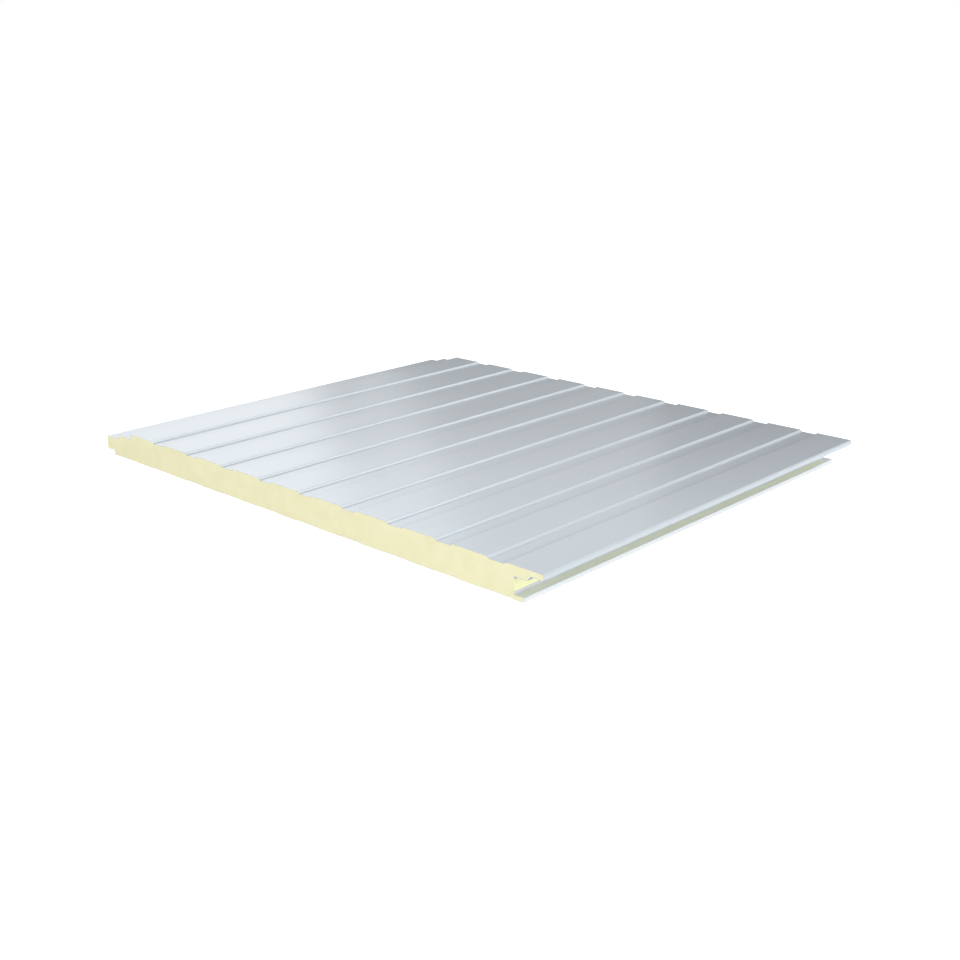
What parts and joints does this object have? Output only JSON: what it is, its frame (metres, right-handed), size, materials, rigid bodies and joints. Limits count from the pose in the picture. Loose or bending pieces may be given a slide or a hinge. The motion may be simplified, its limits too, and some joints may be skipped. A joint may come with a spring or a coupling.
{
  "type": "insulated sandwich panel",
  "caption": "Insulated wall and roof panel: rigid foam between a ribbed and a lined coated steel sheet, with a tongue along one edge and a groove along the other.",
  "frame": {"origin": "middle of the rectangle that the panel covers, on the plane of the inner facing's lowest ribs", "axes": "+X across the panel, from the tongue to the groove; +Y along the ribs; +Z from the inner to the outer facing"},
  "size_m": [1.048, 0.845, 0.05],
  "materials": {
    "outer_coating": "light grey-blue coil coating, satin, with a fine orange-peel surface",
    "foam": "pale yellow rigid polyurethane foam, saw-cut ends with fine closed cells",
    "inner_coating": "grey-white coil coating, satin"
  },
  "bodies": {
    "root": {"outer_facing": "outer_coating", "foam_core": "foam", "inner_facing": "inner_coating"}
  },
  "joints": []
}
